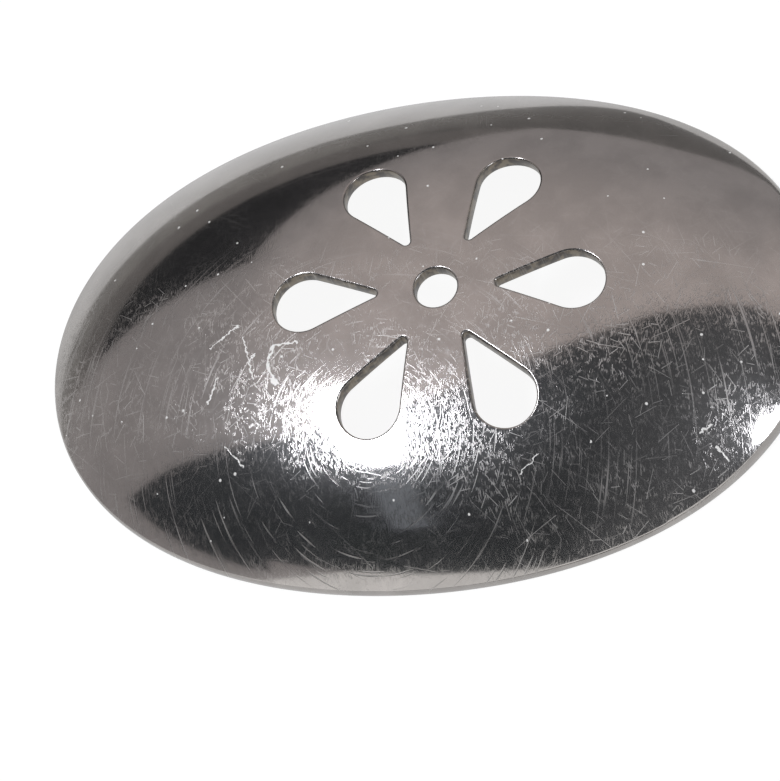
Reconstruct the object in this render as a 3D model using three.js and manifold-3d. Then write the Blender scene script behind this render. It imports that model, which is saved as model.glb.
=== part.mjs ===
// A hollow-handled ice spoon with a flower pierced in its bowl.
// It lies face down, with the flat rim of the bowl and the belly of the handle on z = 0.
// All sizes are in millimetres. While the pieces are shaped, x runs from the tip of the bowl at 0 to
// the butt of the handle, y runs across and z points away from the table.

import * as THREE from 'three';
import { mergeVertices } from 'three/addons/utils/BufferGeometryUtils.js';
import Module from 'manifold-3d';

// Bowl
const BOWL_LENGTH = 66;
const BOWL_WIDTH = 46;
const BOWL_HEIGHT = 10.1;
const CROWN_WALL = 1.32;
const RIM_LAND = 1;
const RIM_EDGE = 0.8;
const DOME_ROUNDNESS = 0.41;
const END_FULLNESS = 0.074;
const HEEL_FULLNESS = 0.022;

// Flower pierced through the bowl
const FLOWER_FROM_TIP = 35.65;
const PETAL_COUNT = 6;
const PETAL_START = 5;
const PETAL_END = 13.98;
const PETAL_END_RADIUS = 2.64;
const PETAL_POINT_RADIUS = 0.35;
const EYE_RADIUS = 1.8;

// Shank, from the heel of the bowl to its shoulder on the collar
const SHANK_LENGTH = 32;
const SHANK_ROOT_WIDTH = 7.4;
const SHANK_WIDTH = 5.2;
const SHANK_THICKNESS = 3.4;
const HEEL_RUN_IN = 13;
const HEEL_RUN_OUT = 16;
const SHOULDER_FILLET = 9;
const CROWN_FILLET = 2.4;
const SHOULDER_WIDTH = 9;
const SHOULDER_THICKNESS = 6.4;
const SHOULDER_COVE = 6;
const SHOULDER_EDGE = 0.8;

// Tang, hidden in the collar and the handle
const TANG_LENGTH = 45;
const TANG_WIDTH = 5;
const TANG_POINT_WIDTH = 3.2;
const TANG_THICKNESS = 2.4;

// Collar
const COLLAR_LENGTH = 6;
const BEAD_FROM_SHOULDER = 2;
const BEAD_WIDTH = 2;
const BEAD_RISE = 0.4;
const SPIGOT_LENGTH = 3;
const SPIGOT_WALL = 0.8;

// Handle
const HANDLE_LENGTH = 92;
const NECK_WIDTH = 9.6;
const NECK_THICKNESS = 6.8;
const BUTT_WIDTH = 19;
const BUTT_THICKNESS = 7.2;
const BUTT_ROUNDING = 11;
const NECK_LIFT = 0.55;
const BUTT_LIFT = 2.4;
const BELLY_FROM_COLLAR = 17;
const SHELL_WALL = 0.6;
const OVAL_POWER = 2.3;
const CLEARANCE = 0.3;

// Facets
const RING_SEGMENTS = 32;
const HANDLE_SEGMENTS = 24;

const { smoothstep, lerp } = THREE.MathUtils;

const bowlMiddle = BOWL_LENGTH / 2;
const heelStart = BOWL_LENGTH - HEEL_RUN_IN;
const heelEnd = BOWL_LENGTH + HEEL_RUN_OUT;
const collarStart = BOWL_LENGTH + SHANK_LENGTH;
const handleStart = collarStart + COLLAR_LENGTH;
const bellyX = handleStart + BELLY_FROM_COLLAR;
const buttX = handleStart + HANDLE_LENGTH;
const collarHeight = NECK_THICKNESS / 2 + NECK_LIFT;

const wasm = await Module();
wasm.setup();

// Solids for cutting and joining

function toSolid( geometry ) {

	const bare = geometry.clone();
	bare.deleteAttribute( 'normal' );
	bare.deleteAttribute( 'uv' );
	const merged = mergeVertices( bare, 1e-4 );
	const corners = merged.index.array;
	const triVerts = [];

	for ( let i = 0; i < corners.length; i += 3 ) {

		const [ a, b, c ] = corners.slice( i, i + 3 );
		const flattened = a === b || b === c || c === a;
		if ( ! flattened ) triVerts.push( a, b, c );

	}

	return new wasm.Manifold( new wasm.Mesh( {
		numProp: 3,
		vertProperties: new Float32Array( merged.attributes.position.array ),
		triVerts: new Uint32Array( triVerts ),
	} ) );

}

function toGeometry( solid ) {

	const mesh = solid.getMesh();
	const geometry = new THREE.BufferGeometry();
	geometry.setAttribute( 'position', new THREE.BufferAttribute( mesh.vertProperties, 3 ) );
	geometry.setIndex( new THREE.BufferAttribute( mesh.triVerts, 1 ) );
	geometry.computeVertexNormals();
	return geometry;

}

// A closed skin over a row of rings that have the same number of points. Each ring runs from +y over
// the top to -y and back underneath, and the two ends are closed by a fan to one point.
function skin( rings, first, last ) {

	const count = rings[ 0 ].length;
	const points = [ ...rings.flat(), first, last ];
	const firstIndex = points.length - 2;
	const lastIndex = points.length - 1;
	const lastRing = ( rings.length - 1 ) * count;
	const index = [];

	for ( let j = 0; j < count; j ++ ) {

		const next = ( j + 1 ) % count;
		index.push( firstIndex, next, j );
		index.push( lastIndex, lastRing + j, lastRing + next );

		for ( let ring = 0; ring < lastRing; ring += count ) {

			index.push( ring + j, ring + next, ring + count + next );
			index.push( ring + j, ring + count + next, ring + count + j );

		}

	}

	const geometry = new THREE.BufferGeometry().setFromPoints( points );
	geometry.setIndex( index );
	return geometry;

}

// Evenly spread places from start to end, without start itself.
function spread( start, end, steps ) {

	return Array.from( { length: steps }, ( _, i ) => lerp( start, end, ( i + 1 ) / steps ) );

}

// Places that crowd together towards a rounded end, without the end itself.
function crowd( start, end, steps ) {

	return Array.from( { length: steps }, ( _, i ) => lerp( start, end, Math.sin( Math.PI / 2 * i / steps ) ) );

}

// The larger of two sizes, with a fillet where they are nearly alike.
function blend( a, b, fillet ) {

	const near = Math.max( fillet - Math.abs( a - b ), 0 );
	return Math.max( a, b ) + ( fillet > 0 ? near * near / ( 4 * fillet ) : 0 );

}

// Bowl and shank

// Place along the bowl, from -1 at the tip to 1 at the heel, for an outline drawn in by inset.
function along( x, inset ) {

	return THREE.MathUtils.clamp( ( x - bowlMiddle ) / ( bowlMiddle - inset ), - 1, 1 );

}

// Half the width of the oval outline: an ellipse with fuller ends, a little wider towards the heel.
function bowlHalfWidth( x, inset ) {

	const u = along( x, inset );
	const fullness = 1 + HEEL_FULLNESS * u + END_FULLNESS * u * u;
	return ( BOWL_WIDTH / 2 - inset ) * fullness * Math.sqrt( 1 - u * u );

}

// Height of the dome on its centre line, as a share of its full height.
function crownProfile( u ) {

	return ( 1 - u * u ) * ( 1 + ( 1 - DOME_ROUNDNESS ) * u * u );

}

// Height of the dome across the bowl, as a share of its height on the centre line there.
// v is 0 on the centre line and 1 on the outline.
function crossProfile( u, v ) {

	const rest = 1 - DOME_ROUNDNESS;
	const fall = DOME_ROUNDNESS + rest * ( 2 * u * u + v * v * ( 1 - u * u ) );
	return 1 - v * v * fall / ( 1 + rest * u * u );

}

// Quarter-round hollow that opens the shank out to its shoulder, from 0 to 1.
function shoulderCove( x ) {

	const coveEnd = collarStart - SHOULDER_EDGE;
	const t = THREE.MathUtils.clamp( 1 - ( coveEnd - x ) / SHOULDER_COVE, 0, 1 );
	return 1 - Math.sqrt( 1 - t * t );

}

function shankHalfWidth( x ) {

	const plain = lerp( SHANK_ROOT_WIDTH, SHANK_WIDTH, smoothstep( x, BOWL_LENGTH, heelEnd ) );
	return lerp( plain, SHOULDER_WIDTH, shoulderCove( x ) ) / 2;

}

function shankHalfThickness( x ) {

	return lerp( SHANK_THICKNESS, SHOULDER_THICKNESS, shoulderCove( x ) ) / 2;

}

// Height of the middle of the shank, which climbs from the bowl to the middle of the collar.
function shankMiddle( x ) {

	return lerp( SHANK_THICKNESS / 2, collarHeight, smoothstep( x, BOWL_LENGTH, collarStart ) );

}

// Section of bowl and shank at x: a dome on a rim with an upright edge and a flat underside, which
// turns into an oval bar. Its first point is where the edge meets the dome on the +y side.
function spoonRing( x ) {

	const u = along( x, 0 );
	const heel = smoothstep( x, heelStart, BOWL_LENGTH );
	const ovalTop = smoothstep( x, heelStart, heelEnd );
	const ovalUnder = smoothstep( x, BOWL_LENGTH, heelEnd );
	const middle = shankMiddle( x );
	const halfThickness = shankHalfThickness( x );
	const domeTop = lerp( RIM_EDGE, BOWL_HEIGHT, crownProfile( u ) );
	const top = blend( domeTop, heel * ( middle + halfThickness ), heel * CROWN_FILLET );
	const edge = lerp( RIM_EDGE, middle, ovalTop );
	const bottom = middle - halfThickness;
	const fillet = heel * SHOULDER_FILLET * ( 1 - ovalUnder );
	const halfWidth = blend( bowlHalfWidth( x, 0 ), heel * shankHalfWidth( x ), fillet );
	const step = 2 * Math.PI / RING_SEGMENTS;

	return Array.from( { length: RING_SEGMENTS }, ( _, j ) => {

		const v = Math.cos( j * step );
		const round = Math.abs( Math.sin( j * step ) );

		if ( j <= RING_SEGMENTS / 2 ) {

			const rise = ( top - edge ) * lerp( crossProfile( u, v ), round, ovalTop );
			return new THREE.Vector3( x, halfWidth * v, edge + rise );

		}

		const square = v / Math.cos( step );
		const z = lerp( bottom, edge - ( edge - bottom ) * round, ovalUnder );
		return new THREE.Vector3( x, halfWidth * lerp( square, v, ovalUnder ), z );

	} );

}

function spoonBlank() {

	const coveStart = collarStart - SHOULDER_EDGE - SHOULDER_COVE;
	const stations = [
		0,
		...crowd( bowlMiddle, 0, 15 ).reverse(),
		...spread( bowlMiddle, heelStart, 7 ),
		...spread( heelStart, heelEnd, 18 ),
		...spread( heelEnd, coveStart, 4 ),
		...spread( coveStart, collarStart - SHOULDER_EDGE, 6 ),
		collarStart,
	];
	const tip = new THREE.Vector3( 0, 0, RIM_EDGE );
	const shoulder = new THREE.Vector3( collarStart, 0, shankMiddle( collarStart ) );
	return skin( stations.map( spoonRing ), tip, shoulder );

}

// The hollow of the bowl: the dome drawn in by the rim's land and lowered by the wall, and closed
// below the rim by a shallow belly that only clears the table.
function bowlHollow() {

	const start = RIM_LAND;
	const end = BOWL_LENGTH - RIM_LAND;
	const towardsTip = crowd( bowlMiddle, start, 15 ).reverse();
	const towardsHeel = crowd( bowlMiddle, end, 15 ).slice( 1 );
	const stations = [ ...towardsTip, ...towardsHeel ];
	const height = BOWL_HEIGHT - CROWN_WALL;

	const rings = stations.map( ( x ) => {

		const u = along( x, RIM_LAND );
		const halfWidth = bowlHalfWidth( x, RIM_LAND );
		return Array.from( { length: RING_SEGMENTS }, ( _, j ) => {

			const angle = 2 * Math.PI * j / RING_SEGMENTS;
			const v = Math.cos( angle );
			const above = height * crownProfile( u ) * crossProfile( u, v );
			const z = angle <= Math.PI ? above : - Math.abs( Math.sin( angle ) ) * CROWN_WALL;
			return new THREE.Vector3( x, halfWidth * v, z );

		} );

	} );

	return skin( rings, new THREE.Vector3( start, 0, 0 ), new THREE.Vector3( end, 0, 0 ) );

}

// Punched upright through the bowl from below the rim to above the crown.
function punch( shape, curveSegments ) {

	const depth = BOWL_HEIGHT + 2 * CROWN_WALL;
	const geometry = new THREE.ExtrudeGeometry( shape, { depth, bevelEnabled: false, curveSegments } );
	return geometry.translate( 0, 0, - CROWN_WALL );

}

// One teardrop: a small round at the point and a large one at the outer end, joined by tangents.
function petalPunch( angle ) {

	const pointX = PETAL_START + PETAL_POINT_RADIUS;
	const endX = PETAL_END - PETAL_END_RADIUS;
	const turn = Math.PI / 2 + Math.asin( ( PETAL_END_RADIUS - PETAL_POINT_RADIUS ) / ( endX - pointX ) );
	const shape = new THREE.Shape();
	shape.absarc( endX, 0, PETAL_END_RADIUS, - turn, turn, false );
	shape.absarc( pointX, 0, PETAL_POINT_RADIUS, turn, 2 * Math.PI - turn, false );
	return punch( shape, 14 ).rotateZ( angle ).translate( FLOWER_FROM_TIP, 0, 0 );

}

function eyePunch() {

	const shape = new THREE.Shape();
	shape.absarc( 0, 0, EYE_RADIUS, 0, 2 * Math.PI, false );
	return punch( shape, 24 ).translate( FLOWER_FROM_TIP, 0, 0 );

}

// Handle

// Height of the handle's underside: it touches the table at the belly and lifts towards both ends.
function handleLift( x ) {

	if ( x < bellyX ) return NECK_LIFT * ( ( bellyX - x ) / ( bellyX - handleStart ) ) ** 2;
	return BUTT_LIFT * ( ( x - bellyX ) / ( buttX - bellyX ) ) ** 2;

}

function handleSwell( x ) {

	return smoothstep( x, handleStart + NECK_WIDTH, buttX - BUTT_ROUNDING );

}

// Height of the handle's centre line, which is also where its two halves meet.
function centreHeight( x ) {

	if ( x < handleStart ) return collarHeight;
	const thickness = lerp( NECK_THICKNESS, BUTT_THICKNESS, handleSwell( x ) );
	return thickness / 2 + handleLift( x );

}

// Oval section of the handle at x, drawn in by inset on every side.
function handleRing( x, inset ) {

	const swell = handleSwell( x );
	const past = Math.max( x - buttX + BUTT_ROUNDING, 0 ) / ( BUTT_ROUNDING - inset );
	const planEnd = Math.sqrt( 1 - past ** 2 );
	const sideEnd = Math.sqrt( 1 - past ** 5 );
	const halfWidth = ( lerp( NECK_WIDTH, BUTT_WIDTH, swell ) / 2 - inset ) * planEnd;
	const halfThickness = ( lerp( NECK_THICKNESS, BUTT_THICKNESS, swell ) / 2 - inset ) * sideEnd;
	return ovalRing( x, halfWidth, halfThickness );

}

function ovalRing( x, halfWidth, halfThickness ) {

	const centre = centreHeight( x );
	return Array.from( { length: HANDLE_SEGMENTS }, ( _, j ) => {

		const angle = 2 * Math.PI * j / HANDLE_SEGMENTS;
		const across = Math.cos( angle );
		const up = Math.sin( angle );
		const y = halfWidth * Math.sign( across ) * Math.abs( across ) ** ( 2 / OVAL_POWER );
		const rise = halfThickness * Math.sign( up ) * Math.abs( up ) ** ( 2 / OVAL_POWER );
		return new THREE.Vector3( x, y, centre + rise );

	} );

}

function handleStations( start, inset ) {

	const roundingStart = buttX - BUTT_ROUNDING;
	const run = spread( handleStart, roundingStart, 20 ).filter( ( x ) => x > start && x < roundingStart );
	return [ start, ...run, ...crowd( roundingStart, buttX - inset, 9 ) ];

}

// A solid the shape of the handle, drawn in by inset, from start to the butt.
function handleForm( start, inset ) {

	const end = buttX - inset;
	const rings = handleStations( start, inset ).map( ( x ) => handleRing( x, inset ) );
	const mouth = new THREE.Vector3( start, 0, centreHeight( start ) );
	return skin( rings, mouth, new THREE.Vector3( end, 0, centreHeight( end ) ) );

}

// Half of the same solid, cut at the seam along the centre line. side is 1 for the back, -1 for the front.
function handleHalfForm( side ) {

	const rings = handleStations( handleStart, 0 ).map( ( x ) => {

		const ring = handleRing( x, 0 );
		const centre = centreHeight( x );
		return ring.map( ( point ) => {

			const kept = ( point.z - centre ) * side > 0;
			return kept ? point : new THREE.Vector3( point.x, point.y, centre );

		} );

	} );
	const mouth = new THREE.Vector3( handleStart, 0, centreHeight( handleStart ) );
	return skin( rings, mouth, new THREE.Vector3( buttX, 0, centreHeight( buttX ) ) );

}

// Flat bar of the tang, which follows the handle's centre line. gap makes it a slot round the tang.
function tangForm( start, end, gap ) {

	const tangEnd = collarStart + TANG_LENGTH;
	const inner = spread( collarStart, tangEnd, 9 ).filter( ( x ) => x > start && x < end );
	const stations = [ start, ...inner, end ];
	const rings = stations.map( ( x ) => {

		const taper = THREE.MathUtils.clamp( ( x - collarStart ) / TANG_LENGTH, 0, 1 );
		const halfWidth = lerp( TANG_WIDTH, TANG_POINT_WIDTH, taper ) / 2 + gap;
		const halfThickness = TANG_THICKNESS / 2 + gap;
		const centre = centreHeight( x );
		return [
			new THREE.Vector3( x, halfWidth, centre - halfThickness ),
			new THREE.Vector3( x, halfWidth, centre + halfThickness ),
			new THREE.Vector3( x, - halfWidth, centre + halfThickness ),
			new THREE.Vector3( x, - halfWidth, centre - halfThickness ),
		];

	} );
	const first = new THREE.Vector3( start, 0, centreHeight( start ) );
	return skin( rings, first, new THREE.Vector3( end, 0, centreHeight( end ) ) );

}

// Collar: the neck's oval with one half-round bead.
function collarForm() {

	const beadX = collarStart + BEAD_FROM_SHOULDER;
	const beadStart = beadX - BEAD_WIDTH / 2;
	const beadEnd = beadX + BEAD_WIDTH / 2;
	const stations = [ collarStart, beadStart, ...spread( beadStart, beadEnd, 8 ), handleStart ];
	const rings = stations.map( ( x ) => {

		const t = THREE.MathUtils.clamp( ( x - beadX ) / ( BEAD_WIDTH / 2 ), - 1, 1 );
		const bead = BEAD_RISE * Math.sqrt( 1 - t * t );
		return ovalRing( x, NECK_WIDTH / 2 + bead, NECK_THICKNESS / 2 + bead );

	} );
	const front = new THREE.Vector3( collarStart, 0, collarHeight );
	return skin( rings, front, new THREE.Vector3( handleStart, 0, collarHeight ) );

}

// The collar's spigot, which stands in the mouth of the two shells.
function spigotForm( inset ) {

	const start = handleStart - SPIGOT_WALL;
	const end = handleStart + SPIGOT_LENGTH;
	const run = handleStations( handleStart, 0 ).filter( ( x ) => x < end );
	const rings = [ start, ...run, end ].map( ( x ) => {

		const swell = handleSwell( x );
		const halfWidth = lerp( NECK_WIDTH, BUTT_WIDTH, swell ) / 2 - inset;
		const halfThickness = lerp( NECK_THICKNESS, BUTT_THICKNESS, swell ) / 2 - inset;
		return ovalRing( x, halfWidth, halfThickness );

	} );
	const first = new THREE.Vector3( start, 0, centreHeight( start ) );
	return skin( rings, first, new THREE.Vector3( end, 0, centreHeight( end ) ) );

}

// Pieces

function bowl() {

	const tangRoot = collarStart - SHOULDER_EDGE;
	let solid = toSolid( spoonBlank() ).subtract( toSolid( bowlHollow() ) );

	for ( let i = 0; i < PETAL_COUNT; i ++ ) {

		solid = solid.subtract( toSolid( petalPunch( 2 * Math.PI * i / PETAL_COUNT ) ) );

	}

	solid = solid.subtract( toSolid( eyePunch() ) );
	return solid.add( toSolid( tangForm( tangRoot, collarStart + TANG_LENGTH, 0 ) ) );

}

function handleCollar() {

	const slot = tangForm( collarStart - SPIGOT_WALL, handleStart + 2 * SPIGOT_LENGTH, CLEARANCE );
	const body = toSolid( collarForm() ).add( toSolid( spigotForm( SHELL_WALL + CLEARANCE ) ) );
	return body.subtract( toSolid( slot ) );

}

function handleShell( side ) {

	const hollow = handleForm( handleStart - SPIGOT_LENGTH, SHELL_WALL );
	return toSolid( handleHalfForm( side ) ).subtract( toSolid( hollow ) );

}

function handleCement() {

	const start = handleStart + SPIGOT_LENGTH + CLEARANCE;
	const filling = handleForm( start, SHELL_WALL + CLEARANCE );
	const slot = tangForm( start - SPIGOT_LENGTH, collarStart + TANG_LENGTH + CLEARANCE, CLEARANCE );
	return toSolid( filling ).subtract( toSolid( slot ) );

}

function addPiece( group, name, solid, color, roughness, metalness ) {

	const material = new THREE.MeshStandardMaterial( { color, roughness, metalness } );
	const mesh = new THREE.Mesh( toGeometry( solid ), material );
	mesh.name = name;
	group.add( mesh );

}

const handle = new THREE.Group();
addPiece( handle, 'handle_collar', handleCollar(), 0xa8a09a, 0.25, 1 );
addPiece( handle, 'handle_front_shell', handleShell( - 1 ), 0xa8a09a, 0.25, 1 );
addPiece( handle, 'handle_back_shell', handleShell( 1 ), 0xa8a09a, 0.25, 1 );
addPiece( handle, 'handle_cement', handleCement(), 0x4a3f36, 0.9, 0 );

// The finished spoon is centred along its length.
const spoon = new THREE.Group();
addPiece( spoon, 'bowl', bowl(), 0x9a938e, 0.2, 1 );
spoon.add( handle );
spoon.position.x = - buttX / 2;

export default spoon;
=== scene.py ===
"""A hollow-handled ice spoon with a flower pierced in its bowl, lying face down on a pale table."""

import math

import bpy
import numpy as np
from bpy.props import FloatProperty, IntProperty, PointerProperty, StringProperty
from mathutils import Matrix, Quaternion, Vector, kdtree
from mathutils.geometry import delaunay_2d_cdt


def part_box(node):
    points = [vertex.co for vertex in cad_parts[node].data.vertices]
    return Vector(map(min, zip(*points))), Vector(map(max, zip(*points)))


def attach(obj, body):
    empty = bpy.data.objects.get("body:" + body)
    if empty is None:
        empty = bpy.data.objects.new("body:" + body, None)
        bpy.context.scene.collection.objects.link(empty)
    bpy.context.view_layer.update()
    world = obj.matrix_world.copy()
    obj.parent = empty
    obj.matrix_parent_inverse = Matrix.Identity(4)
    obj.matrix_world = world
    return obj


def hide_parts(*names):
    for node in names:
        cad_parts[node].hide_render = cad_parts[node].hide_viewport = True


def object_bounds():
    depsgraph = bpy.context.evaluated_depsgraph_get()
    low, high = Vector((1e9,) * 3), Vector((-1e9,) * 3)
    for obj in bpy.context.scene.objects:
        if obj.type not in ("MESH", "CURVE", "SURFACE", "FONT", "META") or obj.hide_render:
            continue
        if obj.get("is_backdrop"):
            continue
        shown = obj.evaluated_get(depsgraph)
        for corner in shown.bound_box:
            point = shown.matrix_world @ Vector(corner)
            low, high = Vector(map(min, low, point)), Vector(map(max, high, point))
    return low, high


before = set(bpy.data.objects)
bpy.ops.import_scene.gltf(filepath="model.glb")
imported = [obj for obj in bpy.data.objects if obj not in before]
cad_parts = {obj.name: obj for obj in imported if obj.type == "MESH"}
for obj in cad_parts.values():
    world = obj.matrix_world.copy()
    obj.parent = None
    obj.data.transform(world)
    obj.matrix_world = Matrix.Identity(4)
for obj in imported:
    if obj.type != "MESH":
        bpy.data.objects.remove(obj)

bl_info = {
    "name": "Ice Spoon",
    "version": (1, 0, 0),
    "blender": (4, 5, 0),
    "location": "View3D > Sidebar > Ice Spoon",
    "description": "Builds a pierced, hollow-handled ice spoon and the table it lies on",
    "category": "Object",
}

MM = 0.001
# A length too small to matter. Settings are rounded, so places are compared with this much to spare.
TINY = 0.001 * MM
CAD_LOW, CAD_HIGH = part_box("bowl")

# Turns of the points that round an edge off.
QUARTER = np.radians([0, 30, 60, 90])

# How far two faces turn where an edge counts as sharp: in the woven bowl, in the modelled pieces, and
# where a modelled edge is rounded.
WOVEN_SHARP = math.radians(50)
MODELLED_SHARP = math.radians(35)
ROUNDED_FROM = math.radians(60)

# Sockets of the Mix node by number, because their names repeat: its share, two numbers, two colours, and
# the blended colour.
SHARE, A, B, COLOUR_A, COLOUR_B = 0, 2, 3, 6, 7
BLENDED = 2

# Rubbed marks on the bowl: lean in degrees, width and length in mm, how much they cover, and a seed.
RUBBED = ((14, 0.1, 0.38, 0.4, 3.1), (-24, 0.1, 0.5, 0.36, 17.3))

# Hairlines, on the bowl and on the handle: size of the cells that hold one each and width in mm, the
# share of the cells that have one, and a seed.
BOWL_HAIRLINES = ((0.8, 0.1, 0.5, 11.7), (1.7, 0.09, 0.5, 23.9), (4, 0.08, 0.6, 31.3))
HANDLE_HAIRLINES = ((1.6, 0.08, 0.35, 5.3), (6, 0.1, 0.25, 17.9))

# The deep marks on the bowl: start and end from the tip and from the middle line, and width, in mm.
GOUGES = (
    ((23.9, -3.6), (21.8, -3.6), 0.17),
    ((21.8, -3.6), (21.3, -5.2), 0.22),
    ((21.3, -5.2), (21.9, -6.8), 0.26),
    ((21.8, -6.6), (22, -6.9), 0.5),
    ((19.1, -2.4), (19.5, -3.9), 0.12),
    ((19.5, -3.9), (20, -6.2), 0.14),
    ((19.6, -4.8), (20.3, -4), 0.1),
    ((16.1, -2.9), (18.6, -1.3), 0.1),
    ((15.9, -7.6), (16.8, -5.7), 0.14),
    ((34.3, -12.3), (34.9, -11.2), 0.15),
    ((17.3, -11.3), (18.8, -13.1), 0.1),
    ((56.5, -12.5), (57.5, -11.8), 0.16),
    ((42.2, -15.9), (43.8, -14.5), 0.09),
    ((57.6, -13.3), (58.5, -14.3), 0.16),
)


def size(name, millimetres, description):
    """A length that a user can set, with its default in millimetres."""
    return FloatProperty(
        name=name, description=description, default=millimetres * MM, min=0, precision=5, unit="LENGTH"
    )


def ratio(name, default, description):
    """A plain number that a user can set."""
    return FloatProperty(name=name, description=description, default=default, precision=3)


def angle(name, degrees, description):
    """An angle that a user can set, with its default in degrees."""
    return FloatProperty(
        name=name, description=description, default=math.radians(degrees), subtype="ANGLE"
    )


def paint(name, default, description):
    """A colour that a user can set, as sRGB hex."""
    return StringProperty(name=name, description=description, default=default)


class BowlSizes(bpy.types.PropertyGroup):
    """Sizes of the domed bowl."""

    length: size("Length", 66, "From the tip to the heel")
    width: size("Width", 46, "Across the rim")
    height: size("Height", CAD_HIGH.z / MM, "From the table to the crown")
    wall: size("Wall", 1.32, "Thickness of the metal at the crown")
    rim_land: size("Rim land", 1, "Width of the flat rim that lies on the table")
    rim_edge: size("Rim edge", 0.8, "Height of the upright edge of the rim")
    roundness: ratio("Dome roundness", 0.41, "1 is a parabola, and less is flatter on top")
    end_fullness: ratio("End fullness", 0.074, "How much fuller than an ellipse the two ends are")
    heel_fullness: ratio("Heel fullness", 0.022, "How much wider the heel's half is than the tip's")
    dome_round: size("Dome round", 0.16, "Rounding between the dome and the upright edge")
    lip_round: size("Lip round", 0.25, "Rounding between the upright edge and the rim's land")
    hollow_round: size("Hollow round", 0.15, "Rounding between the rim's land and the hollow")
    mesh_step: size("Mesh step", 0.5, "Distance between neighbouring points of the skins")


class FlowerSizes(bpy.types.PropertyGroup):
    """Sizes of the pierced flower."""

    from_tip: size("From tip", 35.65, "From the tip of the bowl to the middle of the flower")
    petals: IntProperty(name="Petals", description="How many petals are pierced", default=6, min=2)
    petal_start: size("Petal start", 5, "From the middle of the flower to a petal's point")
    petal_end: size("Petal end", 13.98, "From the middle of the flower to a petal's far end")
    end_radius: size("End radius", 2.64, "Radius of a petal's far end")
    point_radius: size("Point radius", 0.35, "Radius of a petal's point")
    eye_radius: size("Eye radius", 1.8, "Radius of the round hole in the middle")
    edge_round: size("Edge round", 0.2, "Rounding that polishing has left on each hole's edges")


class ShankSizes(bpy.types.PropertyGroup):
    """Sizes of the shank and its tang."""

    length: size("Length", 32, "From the heel to the shoulder on the collar")
    root_width: size("Root width", 7.4, "Width where the shank leaves the bowl")
    width: size("Width", 5.2, "Width of the narrow part")
    thickness: size("Thickness", 3.4, "Thickness of the narrow part")
    run_in: size("Run in", 13, "How far into the bowl the heel begins")
    run_out: size("Run out", 16, "How far past the bowl the section becomes an oval")
    side_fillet: size("Side fillet", 9, "Fillet between the rim and the side of the shank")
    crown_fillet: size("Crown fillet", 2.4, "Fillet between the dome and the top of the shank")
    shoulder_width: size("Shoulder width", 9, "Width of the shoulder on the collar")
    shoulder_thickness: size("Shoulder thickness", 6.4, "Thickness of the shoulder")
    cove_length: size("Cove length", 6, "Length of the hollow curve that opens to the shoulder")
    shoulder_edge: size("Shoulder edge", 0.8, "Length of the shoulder's straight edge")
    tang_length: size("Tang length", 45, "How far the tang reaches into collar and handle")
    tang_width: size("Tang width", 5, "Width of the tang at its root")
    tang_point_width: size("Tang point width", 3.2, "Width of the tang at its end")
    tang_thickness: size("Tang thickness", 2.4, "Thickness of the tang")


class HandleSizes(bpy.types.PropertyGroup):
    """Sizes of the collar and the two struck halves of the handle."""

    collar_length: size("Collar length", 6, "Length of the collar outside the handle")
    bead_from_shoulder: size("Bead from shoulder", 2, "From the shoulder to the middle of the bead")
    bead_width: size("Bead width", 2, "Width of the half-round bead")
    bead_rise: size("Bead rise", 0.4, "How far the bead stands out")
    spigot_length: size("Spigot length", 3, "How far the collar reaches into the handle")
    length: size("Length", 92, "Length of the handle behind the collar")
    neck_width: size("Neck width", 9.6, "Width at the collar")
    neck_thickness: size("Neck thickness", 6.8, "Thickness at the collar")
    butt_width: size("Butt width", 19, "Width of the broad end")
    butt_thickness: size("Butt thickness", 7.2, "Thickness of the broad end")
    butt_rounding: size("Butt rounding", 11, "Length of the rounded end")
    neck_lift: size("Neck lift", 0.55, "Height of the underside above the table at the collar")
    butt_lift: size("Butt lift", 2.4, "Height of the underside above the table at the butt")
    belly: size("Belly", 17, "From the collar to where the handle touches the table")
    shell_wall: size("Shell wall", 0.6, "Thickness of the struck silver")
    edge_round: size("Edge round", 0.06, "Rounding of the edges along the seam and at the collar")
    clearance: size("Clearance", 0.3, "Gap round the tang and the spigot")
    oval_power: ratio("Oval power", 2.3, "2 is an ellipse, and more is squarer")
    mesh_step: size("Mesh step", 0.9, "Distance between the sections of the handle")


class FinishSettings(bpy.types.PropertyGroup):
    """Colours and wear of the metals."""

    steel: paint("Steel", "#BCB7B3", "Polished steel of the bowl")
    # Painted shade: the punched walls' dark colour is partly oxide and partly painted shade for the dark
    # under the bowl that they mirror.
    pierced_oxide_and_shade: paint("Pierced edge", "#433C37", "Tarnish left on the punched walls")
    # Painted glints: the paler wall colour is partly oxide and partly painted glints of the light that the
    # walls mirror.
    pierced_oxide_and_glints: paint("Pierced stain", "#857A69", "Paler stain on the punched walls")
    dust: paint("Dust", "#E4E2DE", "Dust and lint on the bowl")
    silver: paint("Silver", "#D6D1C9", "Plated silver of the handle")
    cement: paint("Cement", "#4A3F36", "Pitch cement inside the handle")
    polish: ratio("Polish", 0.08, "Roughness of the metal between its scratches")
    scratched: ratio("Scratched", 0.5, "Roughness inside the hairline scratches")
    haze: ratio("Haze", 0.35, "Roughness of the glow left by scratches too fine to draw")


class StudioSettings(bpy.types.PropertyGroup):
    """Camera, table and what stands round them."""

    azimuth: angle("Azimuth", 27.906, "Turn of the camera round the spoon")
    elevation: angle("Elevation", 59.215, "Angle of the camera above the table")
    roll: angle("Roll", -30.026, "Turn of the camera about its own axis")
    distance: size("Distance", 519.9, "From the camera to the point it looks at")
    focal_length: FloatProperty(
        name="Focal length", description="In millimetres", default=287.8, unit="CAMERA"
    )
    look_from_tip: size("Look from tip", 29.25, "From the tip of the bowl to the point looked at")
    look_aside: size("Look aside", 3.84, "From the spoon's middle line to the point looked at")
    table: size("Table", 12000, "Side of the table")
    set_radius: size("Set radius", 1400, "Distance of the farthest board")


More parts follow.
